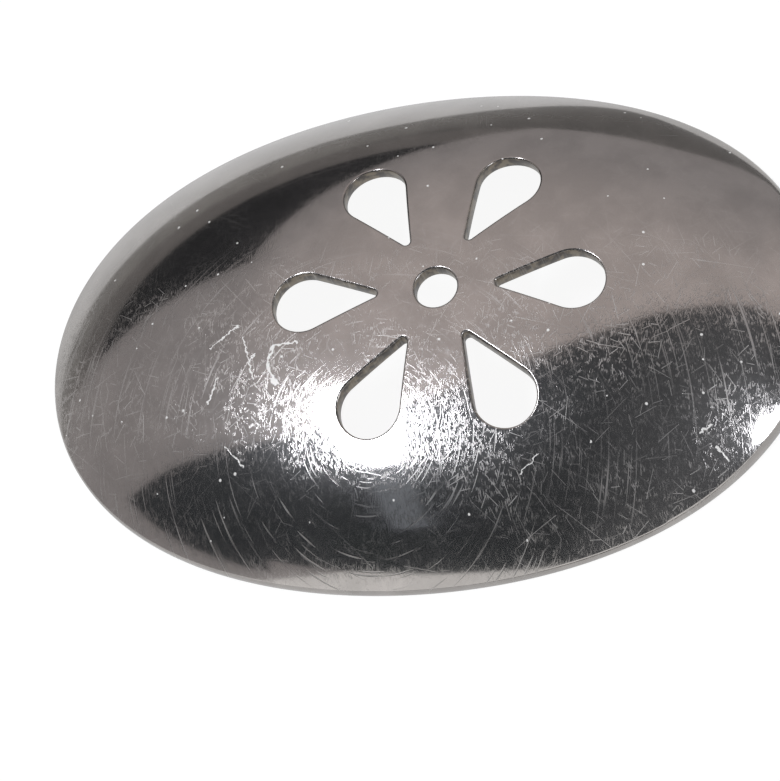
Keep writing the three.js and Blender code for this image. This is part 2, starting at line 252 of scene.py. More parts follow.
def smoothstep(x, start, end):
    """0 up to start and 1 from end on, with a smooth climb between them."""
    t = np.clip((x - start) / (end - start), 0, 1)
    return t * t * (3 - 2 * t)


def lerp(a, b, share):
    return a + (b - a) * share


def larger(a, b, fillet):
    """The larger of two sizes, with a fillet where they are nearly alike."""
    near = np.maximum(fillet - np.abs(a - b), 0)
    return np.maximum(a, b) + near * near / (4 * np.maximum(fillet, TINY))


def spaced(start, end, step):
    """Places from start to end, both included, about a step apart."""
    return np.linspace(start, end, max(round((end - start) / step), 1) + 1)


class SpoonForm:
    """The spoon's surfaces as formulas, in metres. x runs from the tip of the bowl."""

    def __init__(self, scene):
        self.bowl = scene.spoon_bowl
        self.flower = scene.spoon_flower
        self.shank = scene.spoon_shank
        self.handle = scene.spoon_handle
        self.middle = self.bowl.length / 2
        self.heel_start = self.bowl.length - self.shank.run_in
        self.heel_end = self.bowl.length + self.shank.run_out
        self.collar_start = self.bowl.length + self.shank.length
        self.handle_start = self.collar_start + self.handle.collar_length
        self.belly_x = self.handle_start + self.handle.belly
        self.butt_x = self.handle_start + self.handle.length
        self.collar_height = self.handle.neck_thickness / 2 + self.handle.neck_lift

    def along(self, x, inset):
        """Place along the bowl, -1 at the tip and 1 at the heel, for an outline drawn in by inset."""
        return np.clip((x - self.middle) / (self.middle - inset), -1, 1)

    def spread(self, u, inset):
        """Half the width that the outline would have at u if it had no round ends."""
        fullness = 1 + self.bowl.heel_fullness * u + self.bowl.end_fullness * u * u
        return (self.bowl.width / 2 - inset) * fullness

    def outline(self, x, inset):
        """Half the width of the oval at x."""
        u = self.along(x, inset)
        return self.spread(u, inset) * np.sqrt(1 - u * u)

    def turned(self, turn, inset):
        """Point of the oval at an angle round its middle, 0 at the heel."""
        u = np.cos(turn)
        return self.middle + (self.middle - inset) * u, self.spread(u, inset) * np.sin(turn)

    def dome(self, x, y, inset, foot, crown):
        """Height of a dome over the oval drawn in by inset, which stands on foot."""
        u = self.along(x, inset)
        out = np.minimum(u * u + (y / self.spread(u, inset)) ** 2, 1)
        fall = self.bowl.roundness * out + (1 - self.bowl.roundness) * out * out
        return foot + (crown - foot) * (1 - fall)

    def outer(self, x, y):
        return self.dome(x, y, 0, self.bowl.rim_edge, self.bowl.height)

    def inner(self, x, y):
        return self.dome(x, y, self.bowl.rim_land, 0, self.bowl.height - self.bowl.wall)

    def cove(self, x):
        """Quarter-round hollow that opens the shank out to its shoulder, from 0 to 1."""
        end = self.collar_start - self.shank.shoulder_edge
        t = np.clip(1 - (end - x) / self.shank.cove_length, 0, 1)
        return 1 - np.sqrt(1 - t * t)

    def half_width(self, x, inset):
        """Half the width of the plan of bowl and shank, drawn in by inset."""
        heel = smoothstep(x, self.heel_start, self.bowl.length)
        past = smoothstep(x, self.bowl.length, self.heel_end)
        plain = lerp(self.shank.root_width, self.shank.width, past)
        shank = lerp(plain, self.shank.shoulder_width, self.cove(x)) / 2 - inset
        fillet = heel * self.shank.side_fillet * (1 - past)
        return larger(self.outline(x, inset), heel * shank, fillet)

    def section(self, x):
        """Height of the top, of the edge between top and underside, and of the underside."""
        half = lerp(self.shank.thickness, self.shank.shoulder_thickness, self.cove(x)) / 2
        climb = smoothstep(x, self.bowl.length, self.collar_start)
        middle = lerp(self.shank.thickness / 2, self.collar_height, climb)
        heel = smoothstep(x, self.heel_start, self.bowl.length)
        top = larger(self.outer(x, 0.0), heel * (middle + half), heel * self.shank.crown_fillet)
        edge = lerp(self.bowl.rim_edge, middle, smoothstep(x, self.heel_start, self.heel_end))
        return top, edge, middle - half

    def over(self, x, v):
        """Place across and height of the upper skin of heel and shank, v across it from -1 to 1."""
        top, edge, _ = self.section(x)
        u = self.along(x, 0)
        rest = 1 - self.bowl.roundness
        fall = self.bowl.roundness + rest * (2 * u * u + v * v * (1 - u * u))
        domed = 1 - v * v * fall / (1 + rest * u * u)
        oval = smoothstep(x, self.heel_start, self.heel_end)
        rise = (top - edge) * lerp(domed, np.sqrt(np.maximum(1 - v * v, 0)), oval)
        return self.half_width(x, 0) * v, edge + rise

    def handle_height(self, x):
        """Height of the handle's middle line. Its underside touches the table at the belly."""
        if x < self.handle_start:
            return self.collar_height
        start, lift = self.butt_x, self.handle.butt_lift
        if x < self.belly_x:
            start, lift = self.handle_start, self.handle.neck_lift
        share = (x - self.belly_x) / (start - self.belly_x)
        return self.handle_size(x)[1] + lift * share**2

    def handle_size(self, x):
        """Half the width and half the thickness of the handle before its end is rounded."""
        handle = self.handle
        swell = smoothstep(x, self.handle_start + handle.neck_width, self.butt_x - handle.butt_rounding)
        width = lerp(handle.neck_width, handle.butt_width, swell)
        return width / 2, lerp(handle.neck_thickness, handle.butt_thickness, swell) / 2

    def handle_section(self, x):
        """Place, half width, half thickness and height of the handle's section at x."""
        half_width, half_thickness = self.handle_size(x)
        rounding = self.handle.butt_rounding
        past = min(max(x - self.butt_x + rounding, 0) / rounding, 1)
        plan_end, side_end = math.sqrt(1 - past**2), math.sqrt(1 - past**5)
        return x, half_width * plan_end, half_thickness * side_end, self.handle_height(x)


class Weave:
    """Points, faces and known normals of a skin while it is woven."""

    def __init__(self):
        self.points = []
        self.faces = []
        self.normals = {}
        self.walls = []

    def row(self, x, y, z, wall=0.0):
        """Adds a row of points and returns their numbers."""
        first = len(self.points)
        points = np.stack(np.broadcast_arrays(x, y, z), -1).reshape(-1, 3)
        self.points += [tuple(point) for point in points.tolist()]
        self.walls += [wall] * len(points)
        return list(range(first, len(self.points)))

    def bridge(self, row, other, closed=False):
        """Faces between two rows of as many points."""
        for i in range(len(row) - (not closed)):
            j = (i + 1) % len(row)
            self.faces.append((row[i], row[j], other[j], other[i]))

    def fan(self, row, point):
        """Faces from each edge of a closed row to one point."""
        for i, number in enumerate(row):
            self.faces.append((number, row[(i + 1) % len(row)], point))

    def plan(self, numbers):
        """Places of points seen from above."""
        return np.array([self.points[number][:2] for number in numbers])

    def scatter(self, loops, step):
        """Places a step apart inside the first loop and outside the others, clear of all of them."""
        low, high = self.plan(loops[0]).min(0), self.plan(loops[0]).max(0)
        rows = np.arange(low[1], high[1], step * math.sqrt(3) / 2)
        x, y = np.meshgrid(np.arange(low[0], high[0], step), rows)
        x[1::2] += step / 2
        places = np.stack([x.ravel(), y.ravel()], 1)
        places = places[holds(self.plan(loops[0]), places)]
        for loop in loops[1:]:
            places = places[~holds(self.plan(loop), places)]
        tree = kdtree.KDTree(sum(map(len, loops)))
        for number in sum(loops, []):
            tree.insert((*self.points[number][:2], 0), number)
        tree.balance()
        clear = 0.6 * step
        return np.array([place for place in places if tree.find((*place, 0))[2] > clear])

    def patch(self, loops, height, step, upwards):
        """A curved sheet inside the first loop and outside the others, with its true normals."""
        places = self.scatter(loops, step)
        inner = self.row(places[:, 0], places[:, 1], height(places[:, 0], places[:, 1]))
        numbers = sum(loops, []) + inner
        place = {number: i for i, number in enumerate(numbers)}
        edges = [(place[a], place[b]) for loop in loops for a, b in zip(loop, loop[1:] + loop[:1])]
        flat = [Vector(point) for point in self.plan(numbers) / MM]
        inside_only, alike = 1, 1e-6
        triangles, origins = delaunay_2d_cdt(flat, edges, [], inside_only, alike, True)[2:4]
        hole_of = {number: i for i, loop in enumerate(loops[1:]) for number in loop}
        for triangle in triangles:
            corners = [numbers[origins[i][0]] for i in triangle]
            across_hole = len({hole_of.get(corner, corner) for corner in corners}) == 1
            if not across_hole:
                self.faces.append(tuple(corners if upwards else corners[::-1]))
        x, y = self.plan(numbers).T
        reach = 0.02 * MM
        dx = (height(x + reach, y) - height(x - reach, y)) / (2 * reach)
        dy = (height(x, y + reach) - height(x, y - reach)) / (2 * reach)
        for number, a, b in zip(numbers, dx, dy):
            normal = Vector((-a, -b, 1)).normalized()
            self.normals[number] = normal if upwards else -normal

    def piece(self, name):
        """The finished skin as an object, smooth but for its sharp corners."""
        mesh = bpy.data.meshes.new(name)
        mesh.from_pydata(self.points, [], self.faces)
        walls = mesh.attributes.new("pierced_wall", "FLOAT", "POINT")
        walls.data.foreach_set("value", self.walls)
        mesh.shade_smooth()
        mesh.set_sharp_from_angle(angle=WOVEN_SHARP)
        known = [self.normals.get(i, (0, 0, 0)) for i in range(len(self.points))]
        mesh.normals_split_custom_set_from_vertices(known)
        piece = bpy.data.objects.new(name, mesh)
        bpy.context.collection.objects.link(piece)
        return piece


def holds(outline, places):
    """Which of the places a convex outline holds."""
    ahead = np.roll(outline, -1, axis=0) - outline
    offset = places[:, None, :] - outline
    cross = ahead[:, 0] * offset[:, :, 1] - ahead[:, 1] * offset[:, :, 0]
    return np.all(cross > 0, axis=1) | np.all(cross < 0, axis=1)


def petal_loop(flower, turn, out):
    """Plan of one petal grown outwards by out: a small and a large round joined by tangents."""
    end_points, point_points, side_points = 56, 10, 30
    point_x = flower.petal_start + flower.point_radius
    end_x = flower.petal_end - flower.end_radius
    side = math.pi / 2 + math.asin((flower.end_radius - flower.point_radius) / (end_x - point_x))
    at_end = np.linspace(-side, side, end_points)
    at_point = np.linspace(side, 2 * math.pi - side, point_points)
    end = (flower.end_radius + out) * np.exp(1j * at_end) + end_x
    point = (flower.point_radius + out) * np.exp(1j * at_point) + point_x
    straight = np.linspace(0, 1, side_points)[1:-1]
    loop = np.concatenate(
        [end, lerp(end[-1], point[0], straight), point, lerp(point[-1], end[0], straight)]
    )
    loop = loop * np.exp(1j * turn) + flower.from_tip
    return loop.real, loop.imag


def eye_loop(flower, out):
    """Plan of the round hole grown outwards by out."""
    points = 72
    turns = np.linspace(0, 2 * math.pi, points, endpoint=False)
    loop = (flower.eye_radius + out) * np.exp(1j * turns)
    return loop.real + flower.from_tip, loop.imag


def pierce(form, weave, loop_at):
    """Wall of one hole with rounded edges. Returns its loops on the outer and the inner skin."""
    edge_round = form.flower.edge_round
    rows = []
    for skin, down in ((form.outer, 1), (form.inner, -1)):
        for turn in QUARTER[::down]:
            x, y = loop_at(edge_round * (1 - math.sin(turn)))
            z = skin(x, y) - down * edge_round * (1 - math.cos(turn))
            rows.append(weave.row(x, y, z, wall=math.sin(turn) ** 2))
    for row, below in zip(rows, rows[1:]):
        weave.bridge(row, below, closed=True)
    return rows[0], rows[-1]


def weave_rim(form, weave, stations):
    """Rows down the edge of bowl and shank, each from the collar round the tip back to the collar."""
    bowl = form.bowl
    most, little = 0.9 * bowl.dome_round, 0.25 * bowl.dome_round
    insets = [most, little, 0, *bowl.lip_round * (1 - np.cos(QUARTER))]
    drops = [little, bowl.dome_round]
    rises = bowl.lip_round * (1 - np.sin(QUARTER))
    # Where each row lies round the shank's oval, from its top down the side.
    oval_turns = np.radians([90, 8, 0, -8, -16, -25, -34])
    tip_turns = spaced(math.pi / 2, 1.5 * math.pi, bowl.mesh_step / bowl.width * 2)
    past_middle = np.array([x for x in stations if x > form.middle + TINY])
    top, edge, bottom = form.section(past_middle)
    oval = smoothstep(past_middle, bowl.length, form.heel_end)
    rows = []
    for k, (inset, turn) in enumerate(zip(insets, oval_turns)):
        x, y = form.turned(tip_turns, inset)
        half = form.half_width(past_middle, inset)
        if k == 0:
            z = form.outer(x, y)
            height = form.over(past_middle, half / form.half_width(past_middle, 0))[1]
        else:
            lip = k - 1 - len(drops)
            z = rises[lip] if lip >= 0 else bowl.rim_edge - drops[k - 1]
            height = bottom + rises[lip] if lip >= 0 else edge - drops[k - 1]
            reach = np.where(turn > 0, top - edge, edge - bottom)
            height = lerp(height, edge + reach * math.sin(turn), oval)
            half = lerp(half, form.half_width(past_middle, 0) * math.cos(turn), oval)
        left = weave.row(past_middle[::-1], half[::-1], height[::-1])
        tip = weave.row(x, y, z)
        rows.append(left + tip + weave.row(past_middle, -half, height))
    for row, below in zip(rows, rows[1:]):
        weave.bridge(below, row)
    return rows, oval_turns[-1]


def weave_shank(form, weave, stations, rows, last_turn):
    """Top and underside from the heel to the collar. Returns the loops that they leave open."""
    bowl = form.bowl
    upper_points, under_points = 97, 41
    past_middle = [x for x in stations if x > form.middle + TINY]
    count = len(past_middle)
    upper, under = [], []
    for i, x in enumerate(past_middle):
        left, right = count - 1 - i, len(rows[0]) - count + i
        if x > form.heel_start - TINY:
            start = weave.points[rows[0][left]][1] / form.half_width(x, 0)
            v = np.cos(np.linspace(math.acos(start), math.pi - math.acos(start), upper_points))[1:-1]
            inner = weave.row(x, *form.over(x, v))
            upper.append([rows[0][left], *inner, rows[0][right]])
        if x > bowl.length - TINY:
            _, edge, bottom = form.section(x)
            oval = smoothstep(x, bowl.length, form.heel_end)
            turn = np.linspace(last_turn, -math.pi - last_turn, under_points)[1:-1]
            straight = form.half_width(x, bowl.lip_round) * np.linspace(1, -1, under_points)[1:-1]
            y = lerp(straight, form.half_width(x, 0) * np.cos(turn), oval)
            z = lerp(bottom, edge + (edge - bottom) * np.sin(turn), oval)
            under.append([rows[-1][left], *weave.row(x, y, z), rows[-1][right]])
    for ring, following in zip(upper, upper[1:]):
        weave.bridge(ring, following)
    for ring, following in zip(under, under[1:]):
        weave.bridge(following, ring)
    return upper, under


def weave_tang(form, weave, shoulder):
    """Flat tang from the middle of the shoulder to its blunt end."""
    shank = form.shank
    section_step = 5 * MM
    _, y, z = np.array([weave.points[number] for number in shoulder]).T
    turn = np.arctan2((z - form.collar_height) / shank.shoulder_thickness, y / shank.shoulder_width)
    across, up = np.cos(turn), np.sin(turn)
    square = 1 / np.maximum(np.abs(across), np.abs(up))
    ring = shoulder
    for x in spaced(form.collar_start, form.collar_start + shank.tang_length, section_step):
        width = lerp(shank.tang_width, shank.tang_point_width, (x - form.collar_start) / shank.tang_length)
        half_thickness = shank.tang_thickness / 2
        height = form.handle_height(x)
        section = weave.row(x, width / 2 * across * square, height + half_thickness * up * square)
        weave.bridge(ring, section, closed=True)
        ring = section
    end = weave.row(form.collar_start + shank.tang_length, 0, form.handle_height(x))
    weave.fan(ring, end[0])


def weave_bowl(form):
    """Pierced bowl, shank and tang as one closed skin.

    Its dome is a mirror with rounded holes in it. A cut in a modelled dome would leave slivers that
    show in the mirror, so the skin is woven round the holes with its true normals.
    """
    bowl, shank, flower = form.bowl, form.shank, form.flower
    cove_start = form.collar_start - shank.shoulder_edge - shank.cove_length
    cove_end = form.collar_start - shank.shoulder_edge
    marks = [form.middle, form.heel_start, bowl.length, form.heel_end, cove_start, cove_end]
    steps = [0.5, 0.45, 0.5, 0.8, 0.3]
    stations = [form.collar_start]
    for start, end, step in zip(marks, marks[1:], steps):
        stations += list(spaced(start, end, step * MM))
    decimals = 7
    stations = sorted({round(x, decimals) for x in stations})

    weave = Weave()
    rows, last_turn = weave_rim(form, weave, stations)
    upper, under = weave_shank(form, weave, stations, rows, last_turn)
    loops = [lambda out, i=i: petal_loop(flower, 2 * math.pi * i / flower.petals, out)
             for i in range(flower.petals)]
    loops.append(lambda out: eye_loop(flower, out))
    holes = [pierce(form, weave, loop) for loop in loops]

    before_heel = len([x for x in stations if x > form.heel_start + TINY])
    border = rows[0][before_heel:-before_heel] + upper[0][-2:0:-1]
    weave.patch([border, *(outer for outer, _ in holes)], form.outer, bowl.mesh_step, True)

    before_shank = len([x for x in stations if x > bowl.length + TINY])
    land = rows[-1][before_shank:-before_shank] + under[0][-2:0:-1]
    x, y = weave.plan(land).T
    turns = np.arctan2(y / bowl.width, (x - form.middle) / bowl.length)
    loop = land
    for turn in np.radians([0, 45]):
        inset = bowl.rim_land - bowl.hollow_round * (1 - math.sin(turn))
        x, y = form.turned(turns, inset)
        inner = weave.row(x, y, bowl.hollow_round * (1 - math.cos(turn)))
        weave.bridge(inner, loop, closed=True)
        loop = inner
    x, y = form.turned(turns, bowl.rim_land + 0.5 * bowl.hollow_round)
    mouth = weave.row(x, y, form.inner(x, y))
    weave.bridge(mouth, loop, closed=True)
    weave.patch([mouth, *(inner for _, inner in holes)], form.inner, bowl.mesh_step, False)

    sides = [row[-1] for row in rows[1:]], [row[0] for row in rows[:0:-1]]
    shoulder = upper[-1] + sides[0] + under[-1][-2:0:-1] + sides[1]
    weave_tang(form, weave, shoulder)
    return weave.piece("pierced_bowl")


def place_in_frame(piece):
    """Puts the mesh where the frame has it, with the object itself at the origin."""
    piece.data.transform(piece.matrix_world)
    piece.matrix_world.identity()
    for vertex in piece.data.vertices:
        vertex.co.x += CAD_LOW.x


def ride_root(piece, slot, *nodes):
    """Puts the piece on the root body and hides the nodes that it stands for. The slot, its finish's name,
    is not used.
    """
    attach(piece, "root")
    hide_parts(*nodes)


def deselect():
    """Leaves nothing selected, so that an operator acts on what comes next."""
    bpy.ops.object.select_all(action="DESELECT")
    bpy.context.view_layer.objects.active = None


def select_only(piece):
    """Selects one piece, for an operator that acts on it."""
    deselect()
    piece.select_set(True)
    bpy.context.view_layer.objects.active = piece


def newest(name):
    """The object that the last operator added, under its name."""
    added = bpy.context.object
    added.name = added.data.name = name
    return added


def apply_modifier(piece, kind, **settings):
    """Adds a modifier with its settings and applies it."""
    select_only(piece)
    modifier = piece.modifiers.new(kind.title(), kind)
    for name, value in settings.items():
        setattr(modifier, name, value)
    bpy.ops.object.modifier_apply(modifier=modifier.name)


def round_edges(piece, width):
    """Takes the sharpness off the piece's edges."""
    apply_modifier(
        piece, "BEVEL", width=width, segments=2, limit_method="ANGLE", angle_limit=ROUNDED_FROM
    )


def loft_oval(name, sections, power):
    """A ring of the first section's size, extruded and resized from section to section along x."""
    points = 96
    deselect()
    bpy.ops.mesh.primitive_circle_add(vertices=points, radius=1, rotation=(0, math.pi / 2, 0))
    piece = newest(name)
    bpy.ops.object.transform_apply(location=False, rotation=True, scale=False)
    for vertex in piece.data.vertices:
        for axis in (1, 2):
            vertex.co[axis] = math.copysign(abs(vertex.co[axis]) ** (2 / power), vertex.co[axis])
    bpy.ops.object.mode_set(mode="EDIT")
    bpy.ops.mesh.select_all(action="SELECT")
    x, width, thickness, height = sections[0]
    bpy.ops.transform.resize(value=(1, width, thickness), center_override=(0, 0, 0))
    bpy.ops.transform.translate(value=(x, 0, height))
    for before, after in zip(sections, sections[1:]):
        step = (after[0] - before[0], 0, after[3] - before[3])
        bpy.ops.mesh.extrude_region_move(TRANSFORM_OT_translate={"value": step})
        grown = (1, after[1] / before[1], after[2] / before[2])
        bpy.ops.transform.resize(value=grown, center_override=(after[0], 0, after[3]))
    return piece


def finish_metal(piece, material):
    """Smooth shading but for sharp edges, and the material."""
    select_only(piece)
    bpy.ops.object.shade_smooth_by_angle(angle=MODELLED_SHARP)
    piece.data.materials.clear()
    piece.data.materials.append(material)


def model_collar(form):
    """Collar with its bead and its spigot, slotted for the tang."""
    handle, shank = form.handle, form.shank
    half_width, half_thickness = handle.neck_width / 2, handle.neck_thickness / 2
    height = form.collar_height
    bead_points = 15
    bead = form.collar_start + handle.bead_from_shoulder
    sections = [(form.collar_start, half_width, half_thickness, height)]
    for turn in np.linspace(math.pi, 0, bead_points):
        x = bead + handle.bead_width / 2 * math.cos(turn)
        rise = handle.bead_rise * math.sin(turn)
        sections.append((x, half_width + rise, half_thickness + rise, height))
    sections.append((form.handle_start, half_width, half_thickness, height))
    step = handle.shell_wall + handle.clearance
    for x in (form.handle_start, form.handle_start + handle.spigot_length):
        sections.append((x, half_width - step, half_thickness - step, height))
    collar = loft_oval("beaded_collar", sections, handle.oval_power)
    bpy.ops.mesh.edge_face_add()
    bpy.ops.mesh.select_all(action="SELECT")
    bpy.ops.mesh.region_to_loop()
    bpy.ops.mesh.edge_face_add()
    bpy.ops.mesh.select_all(action="SELECT")
    bpy.ops.mesh.normals_make_consistent(inside=False)
    bpy.ops.object.mode_set(mode="OBJECT")
    round_edges(collar, handle.edge_round)

    deselect()
    middle = form.collar_start + handle.collar_length
    bpy.ops.mesh.primitive_cube_add(size=1, location=(middle, 0, height))
    slot = bpy.context.object
    right_through = 4 * handle.collar_length
    gap = 2 * handle.clearance
    slot.scale = (right_through, shank.tang_width + gap, shank.tang_thickness + gap)
    bpy.context.view_layer.update()
    apply_modifier(collar, "BOOLEAN", operation="DIFFERENCE", object=slot, solver="EXACT")
    bpy.data.objects.remove(slot)
    return collar


def model_halves(form):
    """The two struck halves of the handle, parted at the seam along its middle line."""
    handle = form.handle
    rounding_start = form.butt_x - handle.butt_rounding
    run = spaced(form.handle_start, rounding_start, handle.mesh_step)
    end_sections = 22
    turns = np.linspace(0, math.pi / 2, end_sections)[1:-1]
    places = [*run, *(rounding_start + handle.butt_rounding * np.sin(turns))]
    sections = [form.handle_section(x) for x in places]
    back = loft_oval("back_half", sections, handle.oval_power)
    last = sections[-1]
    step = (form.butt_x - last[0], 0, form.handle_height(form.butt_x) - last[3])
    bpy.ops.mesh.extrude_region_move(TRANSFORM_OT_translate={"value": step})
    bpy.ops.mesh.merge(type="CENTER")
    bpy.ops.mesh.select_all(action="SELECT")
    bpy.ops.mesh.normals_make_consistent(inside=False)
    bpy.ops.mesh.select_all(action="DESELECT")
    bpy.ops.object.mode_set(mode="OBJECT")
    for face in back.data.polygons:
        face.select = bool(face.center.z < form.handle_height(face.center.x))
    bpy.ops.object.mode_set(mode="EDIT")
    bpy.ops.mesh.select_mode(type="FACE")
    bpy.ops.mesh.separate(type="SELECTED")
    bpy.ops.mesh.select_mode(type="VERT")
    bpy.ops.object.mode_set(mode="OBJECT")
    front = next(piece for piece in bpy.context.selected_objects if piece != back)
    front.name = front.data.name = "front_half"
    for half in (front, back):
        apply_modifier(half, "SOLIDIFY", thickness=handle.shell_wall, offset=-1, use_even_offset=True)
        round_edges(half, handle.edge_round)
    return front, back


def linear(colour, level=1):
    """An sRGB hex colour as the linear values that a shader takes, brought down to a level."""
    parts = [int(colour[i : i + 2], 16) / 255 for i in (1, 3, 5)]
    parts = [c / 12.92 if c <= 0.04045 else ((c + 0.055) / 1.055) ** 2.4 for c in parts]
    return (*(level * c for c in parts), 1)


def add(tree, kind, inputs=(), **settings):
    """Adds a node with its settings. Its inputs are set, or linked where they are a node or a socket."""
    node = tree.nodes.new("ShaderNode" + kind)
    for name, value in settings.items():
        setattr(node, name, value)
    for name, value in inputs.items() if isinstance(inputs, dict) else enumerate(inputs):
        if isinstance(value, bpy.types.Node):
            value = value.outputs[0]
        if isinstance(value, bpy.types.NodeSocket):
            tree.links.new(value, node.inputs[name])
        else:
            node.inputs[name].default_value = value
    return node


def new_material(name):
    """A material with an empty tree."""
    material = bpy.data.materials.new(name)
    material.use_nodes = True
    material.node_tree.nodes.clear()
    return material, material.node_tree


def millimetres(tree, shift=(0, 0, 0)):
    """Place on the piece in millimetres, counted from shift."""
    place = add(tree, "TexCoord").outputs["Object"]
    moved = add(tree, "VectorMath", (place, shift), operation="SUBTRACT")
    return add(tree, "VectorMath", {0: moved, "Scale": 1 / MM}, operation="SCALE")


def deepest(tree, marks):
    """The deepest of several marks at each place."""
    lines = marks[0]
    for mark in marks[1:]:
        lines = add(tree, "Math", (lines, mark), operation="MAXIMUM")
    return lines


def short_scratches(tree, place, cell, width, share, seed):
    """Straight hairlines, one in a share of the cells, each turned and worn its own way. 0 is no line."""
    faintest = 0.25
    offset = add(tree, "VectorMath", (place, (seed, 2.7 * seed, 0)), operation="ADD")
    cells = add(tree, "TexVoronoi", {"Vector": offset, "Scale": 1 / cell}, voronoi_dimensions="2D")
    local = add(tree, "VectorMath", (offset, cells.outputs["Position"]), operation="SUBTRACT")
    turn, chance, depth = add(tree, "SeparateColor", (cells.outputs["Color"],)).outputs
    turn = add(tree, "Math", (turn, 2 * math.pi), operation="MULTIPLY")
    turned = add(tree, "VectorRotate", {"Vector": local, "Angle": turn}, rotation_type="Z_AXIS")
    across = add(tree, "SeparateXYZ", (turned,)).outputs["Y"]
    across = add(tree, "Math", (across,), operation="ABSOLUTE")
    line = add(tree, "MapRange", (across, 0, width / 2, 1, 0))
    kept = add(tree, "Math", (chance, share), operation="LESS_THAN")
    kept = add(tree, "Math", (line, kept), operation="MULTIPLY")
    depth = add(tree, "MapRange", (depth, 0, 1, faintest, 1))
    return add(tree, "Math", (kept, depth), operation="MULTIPLY")


def dust_specks(tree, place, cell, radius, share):
    """Round specks of many sizes, one in a share of the cells."""
    smallest, largest, soft_from = 0.4 * radius, 1.1 * radius, 0.6
    cells = add(tree, "TexVoronoi", {"Vector": place, "Scale": 1 / cell}, voronoi_dimensions="2D")
    chance, growth, _ = add(tree, "SeparateColor", (cells.outputs["Color"],)).outputs
    grown = add(tree, "MapRange", (growth, 0, 1, smallest / cell, largest / cell))
    near = add(tree, "Math", (cells.outputs["Distance"], grown), operation="DIVIDE")
    speck = add(tree, "MapRange", (near, soft_from, 1, 1, 0))
    kept = add(tree, "Math", (chance, share), operation="LESS_THAN")
    return add(tree, "Math", (speck, kept), operation="MULTIPLY")


def wiping_arcs(tree, place, spacing, length):
    """Fine arcs round the place's own middle, as a cloth leaves when a dome is wiped round and round."""
    usual_radius = 20
    few, full = 0.64, 0.78
    x, y, _ = add(tree, "SeparateXYZ", (place,)).outputs
    flat = add(tree, "CombineXYZ", (x, y))
    radius = add(tree, "VectorMath", (flat,), operation="LENGTH").outputs["Value"]
    across = add(tree, "Math", (radius, spacing), operation="DIVIDE")
    turn = add(tree, "Math", (y, x), operation="ARCTAN2")
    along = add(tree, "Math", (turn, usual_radius / length), operation="MULTIPLY")
    stretched = add(tree, "CombineXYZ", (across, along))
    noise = add(tree, "TexNoise", {"Vector": stretched, "Scale": 1, "Detail": 1}, noise_dimensions="2D")
    return add(tree, "MapRange", (noise, few, full), interpolation_type="SMOOTHSTEP")


def rubbed_marks(tree, place, lean, width, length, share, seed):
    """Short soft marks that all lean about one way and bend a little. share is how much they cover."""
    bend, faintest = 0.9, 0.15
    # Most of the noise lies between 0.36 and 0.66, so this is where a mark begins to show.
    start, soft_edge = 0.66 - 0.3 * share, 0.13
    drift = add(tree, "TexNoise", {"Vector": place, "Scale": 0.35, "Detail": 1}, noise_dimensions="2D")
    drift = drift.outputs["Color"]
    bent = add(tree, "VectorMath", (drift, (bend, bend, 0), place), operation="MULTIPLY_ADD")
    laid = {"Location": (seed, seed, 0), "Rotation": (0, 0, math.radians(lean))}
    grain = add(tree, "Mapping", {"Vector": bent, "Scale": (1 / width, 1 / length, 1), **laid})
    noise = add(tree, "TexNoise", {"Vector": grain, "Scale": 1, "Detail": 1}, noise_dimensions="2D")
    marks = add(tree, "MapRange", (noise, start, start + soft_edge))
    patchy = add(tree, "TexNoise", {"Vector": bent, "Scale": 1.7, "Detail": 2}, noise_dimensions="2D")
    depth = add(tree, "MapRange", (patchy, 0.36, 0.64, faintest, 1))
    return add(tree, "Math", (marks, depth), operation="MULTIPLY")


def wavering(tree, place, reach):
    """Place seen from above, shifted a little to and fro, so that a line through it wavers."""
    drift = add(tree, "TexNoise", {"Vector": place, "Scale": 2.5, "Detail": 2}, noise_dimensions="2D")
    middled = add(tree, "VectorMath", (drift.outputs["Color"], (0.5, 0.5, 0)), operation="SUBTRACT")
    moved = add(tree, "VectorMath", (middled, (reach, reach, 0), place), operation="MULTIPLY_ADD")
    return add(tree, "VectorMath", (moved, (1, 1, 0)), operation="MULTIPLY")


def gouge(tree, place, start, end, width):
    """One deep mark from start to end, deepest along its middle."""
    core, edge = 0.3 * width, 0.6 * width
    reach = Vector(end) - Vector(start)
    offset = add(tree, "VectorMath", (place, (*start, 0)), operation="SUBTRACT")
    along = add(tree, "VectorMath", (offset, (*reach.normalized(), 0)), operation="DOT_PRODUCT")
    along = add(tree, "MapRange", (along.outputs["Value"], 0, reach.length))
    foot = add(tree, "VectorMath", {0: (*reach, 0), "Scale": along}, operation="SCALE")
    away = add(tree, "VectorMath", (offset, foot), operation="DISTANCE").outputs["Value"]
    return add(tree, "MapRange", (away, core, edge, 1, 0))


